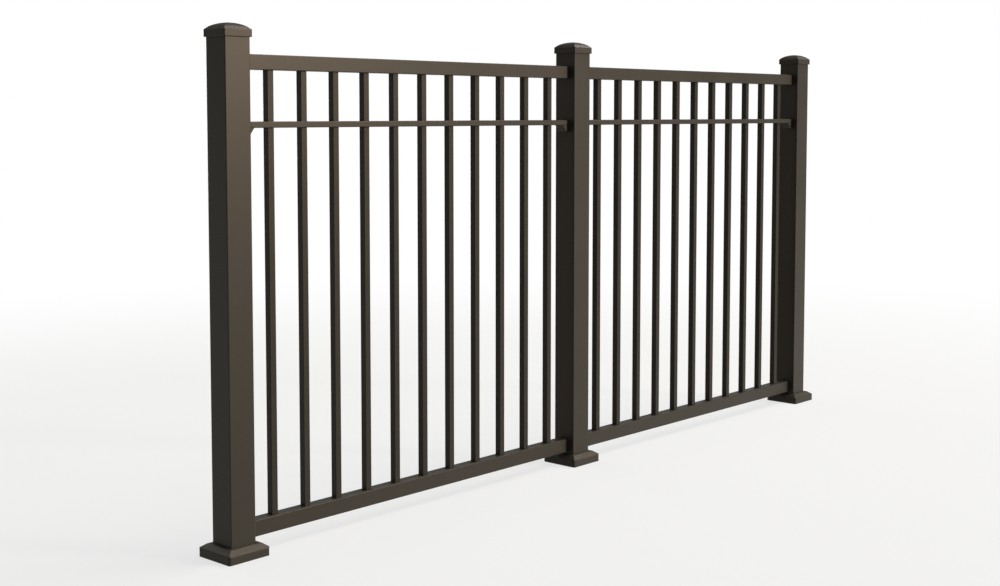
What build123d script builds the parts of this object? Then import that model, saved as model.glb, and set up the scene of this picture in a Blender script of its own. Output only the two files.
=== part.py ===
"""Two-bay aluminium fence panel: three square posts with caps and base skirts, and two bays of
three rails with square balusters set in punched holes.

X runs along the fence, Y through it, with the front towards -Y, and Z up from the ground.
The origin is under the middle post, on the underside of its base plate. Sizes are in millimetres.
"""
import os

from build123d import *

# Posts: square extrusions welded to base plates
post_spacing = 1330.0
post_width = 76.2
post_wall = 3.2
post_corner_radius = 2.5
post_top_z = 1308.0

# Base plates: a margin round the post, with an anchor hole in each corner
plate_margin = 19.05
plate_thickness = 9.5
plate_corner_radius = 4.0
anchor_edge_distance = 11.0
anchor_hole_diameter = 11.0

# Base skirts: cast covers that hide the plates, with a straight side, a bevel and a nearly flat top
skirt_plate_gap = 3.4
skirt_wall = 2.5
skirt_side_height = 21.8
skirt_bevel_run = 15.8
skirt_bevel_rise = 11.2
skirt_top_rise = 1.2
skirt_edge_radius = 4.0
skirt_corner_radius = 6.0

# Post caps: cast covers with a straight rim, a bevelled edge and a low domed crown
cap_wall = 4.1
cap_socket_depth = 17.0
cap_rim_height = 17.6
cap_bevel_run = 9.0
cap_bevel_rise = 8.0
cap_crown_rise = 9.6
cap_edge_radius = 1.2
cap_corner_radius = 3.0
cap_crown_wall = 3.0

# Rails: hollow extrusions between the posts, two hung from the posts' ends and one off the ground
rail_width = 34.9
rail_wall = 2.0
rail_corner_radius = 2.0
top_rail_height = 38.1
top_rail_drop = 57.1
mid_rail_height = 15.9
mid_rail_gap = 128.3
bottom_rail_height = 42.0
bottom_rail_ground_gap = 39.2

# Balusters: square tubes that run from the bottom rail, through the mid rail, into the top rail
baluster_count = 11
baluster_width = 19.05
baluster_wall = 1.2
baluster_corner_radius = 1.0
baluster_end_gap = 75.5
baluster_insert = 12.0

# Mid rail brackets: cast wedges on the post that carry the ends of the slim mid rail
bracket_length = 27.0
bracket_toe_length = 12.0
bracket_height = 20.0
bracket_side_inset = 1.0

# Room round a casting on its post, and round a baluster in its punched hole
post_clearance = 0.3
punch_clearance = 0.3

# Sizes that follow from those above
plate_width = post_width + 2 * plate_margin
anchor_spacing = plate_width - 2 * anchor_edge_distance
skirt_foot_width = plate_width + 2 * (skirt_plate_gap + skirt_wall)
skirt_bevel_top_z = skirt_side_height + skirt_bevel_rise
skirt_top_z = skirt_bevel_top_z + skirt_top_rise
post_socket_width = post_width + 2 * post_clearance
post_bore_width = post_width - 2 * post_wall
cap_width = post_socket_width + 2 * cap_wall
cap_bottom_z = post_top_z - cap_socket_depth
bay_clear_width = post_spacing - post_width
baluster_row_length = bay_clear_width - 2 * baluster_end_gap - baluster_width
baluster_pitch = baluster_row_length / (baluster_count - 1)
punch_width = baluster_width + 2 * punch_clearance
top_rail_bottom_z = post_top_z - top_rail_drop - top_rail_height
mid_rail_bottom_z = top_rail_bottom_z - mid_rail_gap - mid_rail_height
bottom_rail_top_z = bottom_rail_ground_gap + bottom_rail_height

post_places = {"left": -post_spacing, "middle": 0.0, "right": post_spacing}
bay_places = {"left": -post_spacing / 2, "right": post_spacing / 2}


def level(x, z):
    """Horizontal plane at height z, centred on the fence line at x."""
    return Plane(origin=(x, 0, z))


def front(x):
    """Upright plane along the fence, centred at x, whose second axis is height."""
    return Plane(origin=(x, 0, 0), x_dir=(1, 0, 0), z_dir=(0, -1, 0))


def side(x):
    """Upright plane across the fence at x, whose second axis is height."""
    return Plane(origin=(x, 0, 0), x_dir=(0, 1, 0), z_dir=(1, 0, 0))


def square_moulding(x, profile):
    """Solid with the same profile from the front and from the side, so that its corners mitre."""
    reach = profile.bounding_box().size.X
    with BuildPart() as moulding:
        with BuildSketch(front(x)):
            add(profile)
        extrude(amount=reach, both=True)
        with BuildSketch(side(x)):
            add(profile)
        extrude(amount=reach, both=True, mode=Mode.INTERSECT)
    return moulding.part


def rounded_moulding(x, profile, corner_radius):
    """Square moulding whose upright corners are rounded."""
    box = profile.bounding_box()
    with BuildPart() as moulding:
        add(square_moulding(x, profile))
        with BuildSketch(level(x, box.min.Y)):
            RectangleRounded(box.size.X, box.size.X, corner_radius)
        extrude(amount=box.size.Y, mode=Mode.INTERSECT)
    return moulding.part


def skirt_profile(foot_z):
    """Cross-section of the base skirt from foot_z up: straight sides, bevels and a nearly flat top."""
    side_half = skirt_foot_width / 2
    bevel_half = side_half - skirt_bevel_run
    neck_half = post_socket_width / 2
    with BuildSketch() as profile:
        with BuildLine():
            Polyline(
                (-side_half, foot_z),
                (-side_half, skirt_side_height),
                (-bevel_half, skirt_bevel_top_z),
                (-neck_half, skirt_top_z),
                (neck_half, skirt_top_z),
                (bevel_half, skirt_bevel_top_z),
                (side_half, skirt_side_height),
                (side_half, foot_z),
                close=True,
            )
        make_face()
        shoulders, brows = profile.vertices().group_by(Axis.Y)[1:3]
        fillet(shoulders + brows, skirt_edge_radius)
    return profile.sketch


def skirt_hollow_profile():
    """Cross-section of the hollow under the base skirt: the skirt's outline, a wall further in."""
    with BuildSketch() as profile:
        add(skirt_profile(-skirt_wall))
        offset(amount=-skirt_wall)
    return profile.sketch


def cap_profile():
    """Cross-section of the post cap: straight rim, bevelled edge and an arched crown."""
    rim_half = cap_width / 2
    crown_half = rim_half - cap_bevel_run
    rim_z = cap_bottom_z + cap_rim_height
    bevel_z = rim_z + cap_bevel_rise
    with BuildSketch() as profile:
        with BuildLine():
            Polyline(
                (-crown_half, bevel_z),
                (-rim_half, rim_z),
                (-rim_half, cap_bottom_z),
                (rim_half, cap_bottom_z),
                (rim_half, rim_z),
                (crown_half, bevel_z),
            )
            ThreePointArc((crown_half, bevel_z), (0, bevel_z + cap_crown_rise), (-crown_half, bevel_z))
        make_face()
    return profile.sketch


def cap_pocket_profile():
    """Cross-section of the hollow over the post's end: the cap's outline, a wall further in."""
    with BuildSketch() as profile:
        add(cap_profile())
        offset(amount=-cap_crown_wall)
        with Locations((0, post_top_z)):
            Rectangle(
                post_bore_width, cap_width, align=(Align.CENTER, Align.MIN), mode=Mode.INTERSECT
            )
    return profile.sketch


def make_base_plate(x):
    """Flat plate under a post, with an anchor hole in each corner."""
    with BuildPart() as base_plate:
        with BuildSketch(level(x, 0)):
            RectangleRounded(plate_width, plate_width, plate_corner_radius)
            with GridLocations(anchor_spacing, anchor_spacing, 2, 2):
                Circle(anchor_hole_diameter / 2, mode=Mode.SUBTRACT)
        extrude(amount=plate_thickness)
    return base_plate.part


def make_post(x):
    """Square tube that stands on its base plate."""
    with BuildPart() as post:
        with BuildSketch(level(x, plate_thickness)):
            RectangleRounded(post_width, post_width, post_corner_radius)
            Rectangle(post_bore_width, post_bore_width, mode=Mode.SUBTRACT)
        extrude(amount=post_top_z - plate_thickness)
    return post.part


def make_base_skirt(x):
    """Hollow cover round the foot of a post, open below and at the post."""
    outside = rounded_moulding(x, skirt_profile(0), skirt_corner_radius)
    inside = rounded_moulding(x, skirt_hollow_profile(), skirt_corner_radius - skirt_wall)
    with BuildPart() as base_skirt:
        add(outside)
        add(inside, mode=Mode.SUBTRACT)
        with BuildSketch(level(x, 0)):
            Rectangle(post_socket_width, post_socket_width)
        extrude(amount=skirt_top_z, mode=Mode.SUBTRACT)
    return base_skirt.part


def make_post_cap(x):
    """Hollow cap whose socket slides over the post and rests on its end."""
    with BuildSketch() as outside:
        add(cap_profile())
        fillet(outside.vertices(), cap_edge_radius)
    with BuildPart() as post_cap:
        add(rounded_moulding(x, outside.sketch, cap_corner_radius))
        with BuildSketch(level(x, cap_bottom_z)):
            Rectangle(post_socket_width, post_socket_width)
        extrude(amount=cap_socket_depth, mode=Mode.SUBTRACT)
        add(square_moulding(x, cap_pocket_profile()), mode=Mode.SUBTRACT)
    return post_cap.part


def make_rail(x, bottom_z, height, punch_from_z, punch_depth):
    """Hollow rail across one bay, with a row of square holes punched up or down from a face."""
    with BuildPart() as rail:
        with BuildSketch(side(x)):
            with Locations((0, bottom_z + height / 2)):
                RectangleRounded(rail_width, height, rail_corner_radius)
                Rectangle(rail_width - 2 * rail_wall, height - 2 * rail_wall, mode=Mode.SUBTRACT)
        extrude(amount=bay_clear_width / 2, both=True)
        with BuildSketch(level(x, punch_from_z)):
            with GridLocations(baluster_pitch, 0, baluster_count, 1):
                Rectangle(punch_width, punch_width)
        extrude(amount=punch_depth, mode=Mode.SUBTRACT)
    return rail.part


def make_balusters(x):
    """The row of square tubes in one bay."""
    foot_z = bottom_rail_top_z - baluster_insert
    head_z = top_rail_bottom_z + baluster_insert
    bore_width = baluster_width - 2 * baluster_wall
    with BuildPart() as balusters:
        with BuildSketch(level(x, foot_z)):
            with GridLocations(baluster_pitch, 0, baluster_count, 1):
                RectangleRounded(baluster_width, baluster_width, baluster_corner_radius)
                Rectangle(bore_width, bore_width, mode=Mode.SUBTRACT)
        extrude(amount=head_z - foot_z)
    return balusters.part


def make_mid_bracket(post_face_x, towards):
    """Wedge under the end of a mid rail, on the post face, pointing along the rail."""
    with BuildPart() as mid_bracket:
        with BuildSketch(front(post_face_x)):
            with BuildLine():
                Polyline(
                    (0, mid_rail_bottom_z),
                    (towards * bracket_length, mid_rail_bottom_z),
                    (towards * bracket_toe_length, mid_rail_bottom_z - bracket_height),
                    (0, mid_rail_bottom_z - bracket_height),
                    close=True,
                )
            make_face()
        extrude(amount=rail_width / 2 - bracket_side_inset, both=True)
    return mid_bracket.part


def write(piece, name):
    """Names a finished piece and writes it as its own file."""
    piece.label = name
    export_step(piece, f"parts/{name}.step")


os.makedirs("parts", exist_ok=True)

for place, post_x in post_places.items():
    write(make_base_plate(post_x), f"{place}_base_plate")
    write(make_post(post_x), f"{place}_post")
    write(make_base_skirt(post_x), f"{place}_base_skirt")
    write(make_post_cap(post_x), f"{place}_post_cap")

for bay, bay_x in bay_places.items():
    bay_start_x = bay_x - bay_clear_width / 2
    bay_end_x = bay_x + bay_clear_width / 2
    bottom_rail = make_rail(
        bay_x, bottom_rail_ground_gap, bottom_rail_height, bottom_rail_top_z, -bottom_rail_height / 2
    )
    mid_rail = make_rail(bay_x, mid_rail_bottom_z, mid_rail_height, mid_rail_bottom_z, mid_rail_height)
    top_rail = make_rail(bay_x, top_rail_bottom_z, top_rail_height, top_rail_bottom_z, top_rail_height / 2)
    write(bottom_rail, f"{bay}_bottom_rail")
    write(mid_rail, f"{bay}_mid_rail")
    write(top_rail, f"{bay}_top_rail")
    write(make_balusters(bay_x), f"{bay}_balusters")
    write(make_mid_bracket(bay_start_x, 1), f"{bay}_mid_bracket_start")
    write(make_mid_bracket(bay_end_x, -1), f"{bay}_mid_bracket_end")
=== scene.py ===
"""Looks of a two-bay aluminium fence panel in a dark bronze powder coat, in metres.

X runs along the fence, the front faces -Y and Z is up. The sections follow the order of assembly.
"""
import math

import bpy
import numpy as np
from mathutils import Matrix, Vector

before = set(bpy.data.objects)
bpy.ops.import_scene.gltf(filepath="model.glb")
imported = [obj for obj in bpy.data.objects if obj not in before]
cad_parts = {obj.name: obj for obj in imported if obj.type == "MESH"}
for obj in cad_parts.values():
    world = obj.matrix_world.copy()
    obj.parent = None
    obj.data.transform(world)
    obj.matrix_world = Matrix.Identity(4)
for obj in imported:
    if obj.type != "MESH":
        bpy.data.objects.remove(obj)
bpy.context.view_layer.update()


# Base plates
# Square aluminium plates, sawn from rolled bar, drilled for anchors and welded under the posts.
# They are coated together with the posts and show only from below, inside the skirts.
class Value:
    """A number or colour that varies over a surface: arithmetic on it adds Math nodes."""

    def __init__(self, finish, socket):
        self.finish = finish
        self.socket = socket

    def math(self, operation, first, second):
        return self.finish.node("ShaderNodeMath", {"operation": operation}, {0: first, 1: second})

    def __add__(self, other):
        return self.math("ADD", self, other)

    def __radd__(self, other):
        return self.math("ADD", other, self)

    def __sub__(self, other):
        return self.math("SUBTRACT", self, other)

    def __rsub__(self, other):
        return self.math("SUBTRACT", other, self)

    def __mul__(self, other):
        return self.math("MULTIPLY", self, other)

    def __rmul__(self, other):
        return self.math("MULTIPLY", other, self)


class Finish:
    """A material and its nodes."""

    def __init__(self, name):
        self.material = bpy.data.materials.new(name)
        self.material.use_nodes = True
        self.tree = self.material.node_tree
        self.tree.nodes.clear()

    def node(self, kind, settings, sockets, output=0):
        """Adds a node: its settings first, then each socket's value or link. Returns one output."""
        made = self.tree.nodes.new(kind)
        for name, setting in settings.items():
            setattr(made, name, setting)
        for key, value in sockets.items():
            if isinstance(value, Value):
                self.tree.links.new(value.socket, made.inputs[key])
            else:
                made.inputs[key].default_value = value
        return Value(self, made.outputs[output])

    def surface(self, shader):
        end = self.tree.nodes.new("ShaderNodeOutputMaterial")
        self.tree.links.new(shader.socket, end.inputs["Surface"])


def powder_coat(name, roughness, grain_stretch, relief, tone=1.0):
    """Satin powder coat. Its colour and sheen drift by a few percent in soft clouds and in pigment
    specks: each is noise in object space less its middle value, times its share. Its relief is the
    sum of the coat's orange peel and the grain of the metal below, which is noise drawn out along the
    direction in which the metal was formed. The tone scales the colour and the sheen.
    """
    bronze_deep = tone * np.array((0.029, 0.0262, 0.0213))
    bronze_pale = tone * np.array((0.043, 0.0390, 0.0320))
    sheen_tint = (1.0, 0.77, 0.58, 1)
    sheen_level = tone * 0.165
    cloud_scale, cloud_detail = 5.0, 3.0
    speck_scale, speck_detail = 1500.0, 1.0
    peel_scale, peel_detail = 380.0, 1.0
    grain_scale, grain_detail = 240.0, 2.0
    noise_middle = 0.5
    even_mix, cloud_in_colour, speck_in_colour = 0.5, 0.5, 0.7
    cloud_in_sheen, speck_in_sheen = 0.10, 0.08
    grain_in_relief = 0.6
    relief_strength = 0.25
    colour_a, colour_b, colour_out = 6, 7, 2  # the Mix node's sockets for colours

    coat = Finish(name)
    place = coat.node("ShaderNodeTexCoord", {}, {}, output="Object")
    drawn = coat.node("ShaderNodeMapping", {}, {"Vector": place, "Scale": grain_stretch})

    def noise(vector, scale, detail):
        return coat.node("ShaderNodeTexNoise", {}, {"Vector": vector, "Scale": scale, "Detail": detail})

    cloud = noise(place, cloud_scale, cloud_detail) - noise_middle
    speck = noise(place, speck_scale, speck_detail) - noise_middle
    peel = noise(place, peel_scale, peel_detail)
    grain = noise(drawn, grain_scale, grain_detail)
    colour = coat.node(
        "ShaderNodeMix",
        {"data_type": "RGBA"},
        {
            "Factor": even_mix + cloud_in_colour * cloud + speck_in_colour * speck,
            colour_a: (*bronze_deep, 1),
            colour_b: (*bronze_pale, 1),
        },
        output=colour_out,
    )
    bump = coat.node(
        "ShaderNodeBump",
        {},
        {"Height": peel + grain_in_relief * grain, "Strength": relief_strength, "Distance": relief},
    )
    coat.surface(
        coat.node(
            "ShaderNodeBsdfPrincipled",
            {},
            {
                "Base Color": colour,
                "Roughness": roughness + cloud_in_sheen * cloud + speck_in_sheen * speck,
                "Specular IOR Level": sheen_level,
                "Specular Tint": sheen_tint,
                "Normal": bump,
            },
        )
    )
    return coat.material


def dress(material, *names):
    """Gives a finish to CAD pieces by name."""
    for name in names:
        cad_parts[name].data.materials[0] = material


rolled_plate = powder_coat("rolled_plate_coat", roughness=0.40, grain_stretch=(0.1, 1, 1), relief=0.00012)
post_names = ("left", "middle", "right")
dress(rolled_plate, *[f"{post}_base_plate" for post in post_names])


# Posts
# Square extruded tubes, cut to length and welded on the plates before coating.
# The die leaves faint lines along the length under the coat.
upright_tube = powder_coat("upright_tube_coat", roughness=0.38, grain_stretch=(1, 1, 0.01), relief=0.00010)
dress(upright_tube, *[f"{post}_post" for post in post_names])


# Base skirts
# Cast covers that slide down over the posts and hide the plates and anchors.
# The casting's skin is a little rougher than an extrusion and shows through the coat.
cast_cover = powder_coat("cast_cover_coat", roughness=0.41, grain_stretch=(1, 1, 1), relief=0.00018)
dress(cast_cover, *[f"{post}_base_skirt" for post in post_names])


# Mid rail brackets
# Small cast wedges on the sides of the posts, on which the ends of the mid rails rest.
# They have the skirts' casting skin.
bay_names = ("left", "right")
for end in ("start", "end"):
    dress(cast_cover, *[f"{bay}_mid_bracket_{end}" for bay in bay_names])


# Rails
# Hollow extrusions between the posts, punched with square holes for the balusters.
# The die lines run along the fence.
level_tube = powder_coat("level_tube_coat", roughness=0.38, grain_stretch=(0.01, 1, 1), relief=0.00010)
for rail in ("bottom_rail", "mid_rail", "top_rail"):
    dress(level_tube, *[f"{bay}_{rail}" for bay in bay_names])


# Balusters
# Slim square tubes that stand in the holes of the bottom rail, pass through the mid rail and end
# in the top rail. They are extruded like the posts, and their coat is set darker in colour and sheen.
slim_tube = powder_coat(
    "slim_tube_coat", roughness=0.38, grain_stretch=(1, 1, 0.01), relief=0.00010, tone=0.78
)
dress(slim_tube, *[f"{bay}_balusters" for bay in bay_names])


# Post caps
# Hollow castings with a straight rim, a bevel and a low domed crown, pressed over the posts last.
# They have the skirts' casting skin too.
dress(cast_cover, *[f"{post}_post_cap" for post in post_names])


# Floor and backdrop
# A pale studio floor that keeps the fence's shadow near its feet, with a white sweep that starts in
# front of the fence and runs out to a low white wall far behind it. Neither is part of the fence.
def add_surface(name, points, material):
    """Mesh of a grid of points, rows by columns, as one sheet of quads."""
    rows, columns = points.shape[:2]
    corner = np.arange(rows * columns).reshape(rows, columns)
    quads = np.stack((corner[:-1, :-1], corner[:-1, 1:], corner[1:, 1:], corner[1:, :-1]), axis=-1)
    mesh = bpy.data.meshes.new(name)
    mesh.from_pydata(points.reshape(-1, 3).tolist(), [], quads.reshape(-1, 4).tolist())
    mesh.materials.append(material)
    sheet = bpy.data.objects.new(name, mesh)
    bpy.context.scene.collection.objects.link(sheet)


def studio_white(name):
    """Pale matte surface that looks white to the eye and in reflections behind the fence. The white
    share is the product of two smooth steps: from none to full over the distance in front of the
    fence, and from the shadow's share near the origin to full further out.
    """
    pale = (0.5, 0.5, 0.5, 1)
    dull = (0.2, 0.2, 0.2, 1)
    glow_colour, glow_strength = (1, 1, 1, 1), 1.0
    sweep_front, sweep_full = -2.6, -1.5
    near_radius, far_radius = 1.8, 5.5
    no_share, near_share, full_share = 0.0, 0.7, 1.0

    white = Finish(name)
    place = white.node("ShaderNodeTexCoord", {}, {}, output="Object")
    depth = white.node("ShaderNodeSeparateXYZ", {}, {"Vector": place}, output="Y")
    away = white.node("ShaderNodeVectorMath", {"operation": "LENGTH"}, {0: place}, output="Value")

    def smooth_step(value, start, stop, low, high):
        return white.node(
            "ShaderNodeMapRange",
            {"interpolation_type": "SMOOTHSTEP"},
            {"Value": value, "From Min": start, "From Max": stop, "To Min": low, "To Max": high},
        )

    sweep = smooth_step(depth, sweep_front, sweep_full, no_share, full_share)
    far = smooth_step(away, near_radius, far_radius, near_share, full_share)
    to_eye, to_gloss, to_glass = [
        white.node("ShaderNodeLightPath", {}, {}, output=ray)
        for ray in ("Is Camera Ray", "Is Glossy Ray", "Is Transmission Ray")
    ]
    pale_matte = white.node("ShaderNodeBsdfDiffuse", {}, {"Color": pale})
    dull_matte = white.node("ShaderNodeBsdfDiffuse", {}, {"Color": dull})
    glow = white.node("ShaderNodeEmission", {}, {"Color": glow_colour, "Strength": glow_strength})
    shown = white.node("ShaderNodeMixShader", {}, {0: sweep * far, 1: pale_matte, 2: glow})
    white.surface(
        white.node("ShaderNodeMixShader", {}, {0: to_eye + to_gloss + to_glass, 1: dull_matte, 2: shown})
    )
    return white.material


# The floor lies half a millimetre below the feet, so that it doesn't meet the plates' undersides.
floor_half = 60.0
floor_drop = 0.0005
floor_pale = studio_white("pale_floor")
across, along = np.meshgrid((-floor_half, floor_half), (-floor_half, floor_half))
add_surface("floor", np.stack((across, along, np.full_like(across, -floor_drop)), axis=-1), floor_pale)

# The wall is an arc of a circle round the origin, facing the camera and carried straight up.
wall_radius = 40.0
wall_height = 4.9
wall_half_angle = math.radians(35)
wall_columns = 48
view_yaw = math.radians(47.84)
turn, rise = np.meshgrid(
    np.linspace(view_yaw - wall_half_angle, view_yaw + wall_half_angle, wall_columns), (0.0, wall_height)
)
add_surface(
    "backdrop",
    np.stack((wall_radius * np.sin(turn), wall_radius * np.cos(turn), rise), axis=-1),
    floor_pale,
)


# Studio light
# A warm key far off to the front right, whose sheen falls on the head of the left post, and a high
# panel beyond the right end, which the bevels of the caps and skirts reflect. A lamp behind lights
# the back, two weak panels lift the left faces and bevels, and the room is dim and slightly cool.
def add_lamp(name, place, target, width, height, watts, colour):
    """Rectangular lamp at a place, facing a target."""
    lamp = bpy.data.lights.new(name, "AREA")
    lamp.shape = "RECTANGLE"
    lamp.size = width
    lamp.size_y = height
    lamp.energy = watts
    lamp.color = colour
    holder = bpy.data.objects.new(name, lamp)
    holder.location = place
    holder.rotation_euler = (Vector(target) - Vector(place)).to_track_quat("-Z", "Y").to_euler()
    holder.visible_camera = False
    bpy.context.scene.collection.objects.link(holder)


key_azimuth = math.radians(33.0)
key_elevation = math.radians(11.0)
key_distance = 24.0
key_target = Vector((-1.33, 0, 1.25))
key_place = key_target + key_distance * Vector(
    (
        math.sin(key_azimuth) * math.cos(key_elevation),
        -math.cos(key_azimuth) * math.cos(key_elevation),
        math.sin(key_elevation),
    )
)
add_lamp(
    "key",
    place=key_place,
    target=key_target,
    width=4.0,
    height=4.0,
    watts=5700,
    colour=(1.0, 0.94, 0.86),
)
add_lamp(
    "high_panel",
    place=(5.8, -2.0, 9.6),
    target=(0, 0, 0.6),
    width=6.5,
    height=5.5,
    watts=1235,
    colour=(1.0, 0.96, 0.91),
)
add_lamp(
    "back_panel",
    place=(-3.5, 6.6, 5.7),
    target=(-1.3, 0, 0),
    width=4.4,
    height=5.0,
    watts=35,
    colour=(0.95, 0.98, 1.0),
)
add_lamp(
    "fill",
    place=(-6.5, 5.5, 2.6),
    target=(-1.0, 0, 0.9),
    width=6.0,
    height=4.0,
    watts=15,
    colour=(0.85, 0.98, 1.0),
)
add_lamp(
    "back_light",
    place=(1.0, 12.0, 2.6),
    target=(0, 0, 0.6),
    width=6.0,
    height=4.0,
    watts=900,
    colour=(1.0, 0.97, 0.93),
)

room_colour = (0.92, 0.97, 1.0, 1)
room_strength = 0.22
room = bpy.data.worlds.new("room")
room.use_nodes = True
room_light = room.node_tree.nodes["Background"]
room_light.inputs["Color"].default_value = room_colour
room_light.inputs["Strength"].default_value = room_strength
bpy.context.scene.world = room


# Camera
# Stands to the left in front of the fence, at about the height of the mid rails, and looks slightly
# down along it. The picture is shifted so that the whole fence fits.
camera_place = (-3.508, -2.869, 1.104)
camera_pitch = math.radians(3.97)
level_look = math.radians(90)
lens_mm = 51.87
sensor_mm = 36.0
picture_shift = -0.0793

camera = bpy.data.cameras.new("camera")
camera.lens = lens_mm
camera.sensor_width = sensor_mm
camera.shift_y = picture_shift
stand = bpy.data.objects.new("camera", camera)
stand.location = camera_place
stand.rotation_euler = (level_look - camera_pitch, 0, -view_yaw)
bpy.context.scene.collection.objects.link(stand)
bpy.context.scene.camera = stand
bpy.context.scene.view_settings.view_transform = "Standard"
